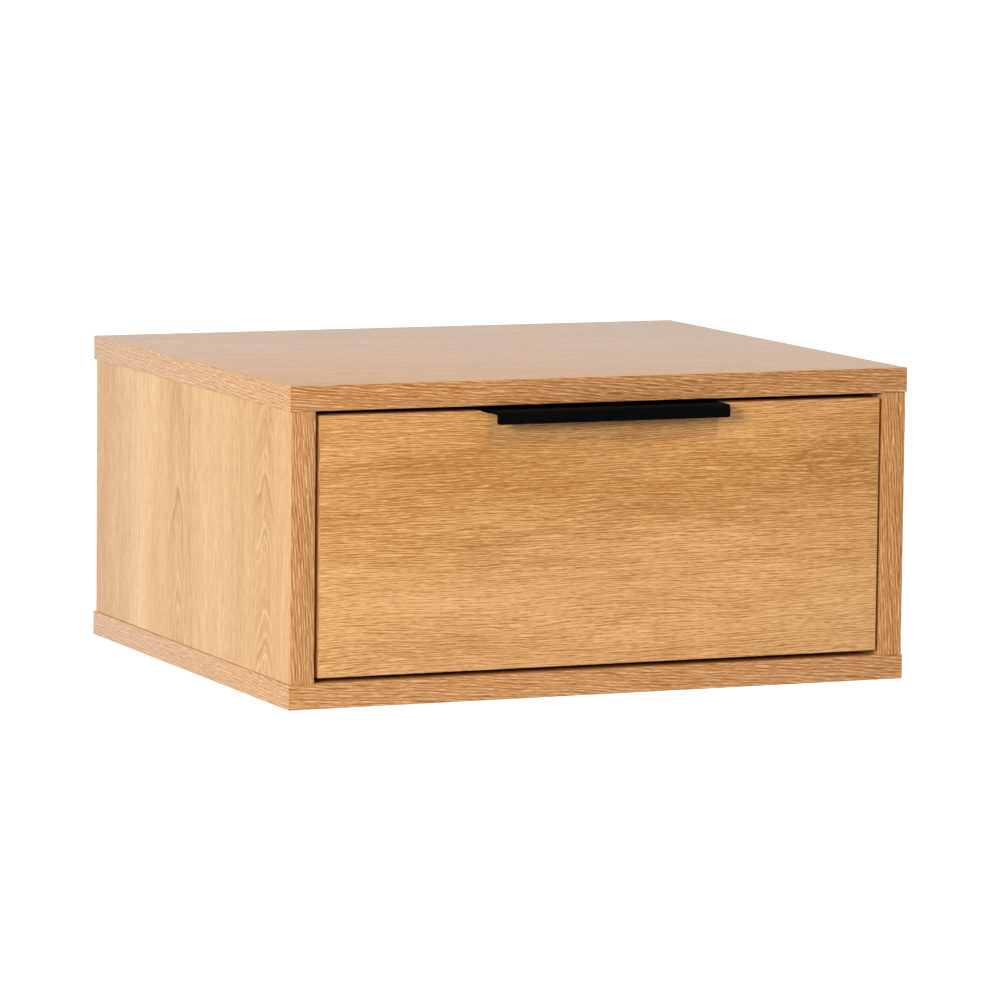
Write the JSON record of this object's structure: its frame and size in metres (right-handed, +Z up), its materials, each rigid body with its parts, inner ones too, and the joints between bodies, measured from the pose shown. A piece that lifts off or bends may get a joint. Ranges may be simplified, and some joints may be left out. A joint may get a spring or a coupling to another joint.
{
  "type": "wall-hung nightstand with a drawer",
  "caption": "Low wall-hung nightstand in oak-faced board: a box cabinet with one flush drawer on roller slides, opened by a black edge pull.",
  "frame": {"origin": "on the wall plane (the back face), midway between the two wall-screw holes", "axes": "+X to the right as seen from the front, +Y towards the wall, +Z up; the drawer opens along -Y"},
  "size_m": [0.4, 0.3579, 0.19],
  "materials": {
    "oak_board": "oak-effect melamine on particleboard, satin, with matching edge bands",
    "box_board": "pale foil on particleboard, matt",
    "hardboard": "thin fibreboard, smooth brown face",
    "beech": "bare beech, fluted dowel stock",
    "black_paint": "matt black powder coat on bent sheet metal",
    "white_enamel": "white epoxy coat on pressed steel",
    "nylon": "white nylon",
    "steel": "bright zinc-plated steel",
    "die_cast_zinc": "die-cast zinc, grey and slightly grainy"
  },
  "bodies": {
    "cabinet": {"top_panel": "oak_board", "bottom_panel": "oak_board", "left_side_panel": "oak_board", "right_side_panel": "oak_board", "back_panel": "hardboard", "hanging_rail": "box_board", "left_lower_rail_dowel": "beech", "left_upper_rail_dowel": "beech", "right_lower_rail_dowel": "beech", "right_upper_rail_dowel": "beech", "left_lower_front_cam": "die_cast_zinc", "left_lower_rear_cam": "die_cast_zinc", "left_upper_front_cam": "die_cast_zinc", "left_upper_rear_cam": "die_cast_zinc", "right_lower_front_cam": "die_cast_zinc", "right_lower_rear_cam": "die_cast_zinc", "right_upper_front_cam": "die_cast_zinc", "right_upper_rear_cam": "die_cast_zinc", "left_lower_front_cam_bolt": "steel", "left_lower_rear_cam_bolt": "steel", "left_upper_front_cam_bolt": "steel", "left_upper_rear_cam_bolt": "steel", "right_lower_front_cam_bolt": "steel", "right_lower_rear_cam_bolt": "steel", "right_upper_front_cam_bolt": "steel", "right_upper_rear_cam_bolt": "steel", "left_cabinet_rail": "white_enamel", "right_cabinet_rail": "white_enamel", "left_front_cabinet_rail_screw": "steel", "left_rear_cabinet_rail_screw": "steel", "right_front_cabinet_rail_screw": "steel", "right_rear_cabinet_rail_screw": "steel", "left_front_roller_pin": "steel", "right_front_roller_pin": "steel"},
    "drawer": {"drawer_front": "oak_board", "left_drawer_side": "box_board", "right_drawer_side": "box_board", "drawer_back": "box_board", "drawer_bottom": "hardboard", "left_drawer_back_screw": "steel", "right_drawer_back_screw": "steel", "left_drawer_cam": "die_cast_zinc", "right_drawer_cam": "die_cast_zinc", "left_drawer_cam_bolt": "steel", "right_drawer_cam_bolt": "steel", "pull": "black_paint", "left_pull_screw": "steel", "right_pull_screw": "steel", "left_drawer_rail": "white_enamel", "right_drawer_rail": "white_enamel", "left_front_drawer_rail_screw": "steel", "left_rear_drawer_rail_screw": "steel", "right_front_drawer_rail_screw": "steel", "right_rear_drawer_rail_screw": "steel", "left_rear_roller_pin": "steel", "right_rear_roller_pin": "steel"},
    "left_front_wheel": {"left_front_roller": "nylon"},
    "right_front_wheel": {"right_front_roller": "nylon"},
    "left_rear_wheel": {"left_rear_roller": "nylon"},
    "right_rear_wheel": {"right_rear_roller": "nylon"}
  },
  "joints": [
    {"name": "drawer_slide", "type": "slide", "parent": "cabinet", "child": "drawer", "axis": [0, -1, 0], "range_m": [0, 0.225]},
    {"name": "left_front_roller_spin", "type": "hinge", "parent": "cabinet", "child": "left_front_wheel", "pos_m": [-0.17885, -0.315, -0.1159], "axis": [1, 0, 0], "range_deg": [-5, 1620]},
    {"name": "right_front_roller_spin", "type": "hinge", "parent": "cabinet", "child": "right_front_wheel", "pos_m": [0.17885, -0.315, -0.1159], "axis": [1, 0, 0], "range_deg": [-5, 1620]},
    {"name": "left_rear_roller_spin", "type": "hinge", "parent": "drawer", "child": "left_rear_wheel", "pos_m": [-0.17665, -0.0355, -0.11655], "axis": [1, 0, 0], "range_deg": [-5, 1620]},
    {"name": "right_rear_roller_spin", "type": "hinge", "parent": "drawer", "child": "right_rear_wheel", "pos_m": [0.17665, -0.0355, -0.11655], "axis": [1, 0, 0], "range_deg": [-5, 1620]}
  ],
  "couplings": [
    {"joint": "left_front_roller_spin", "follows": "drawer_slide", "rad_per_m": 125},
    {"joint": "right_front_roller_spin", "follows": "drawer_slide", "rad_per_m": 125},
    {"joint": "left_rear_roller_spin", "follows": "drawer_slide", "rad_per_m": 125},
    {"joint": "right_rear_roller_spin", "follows": "drawer_slide", "rad_per_m": 125}
  ]
}
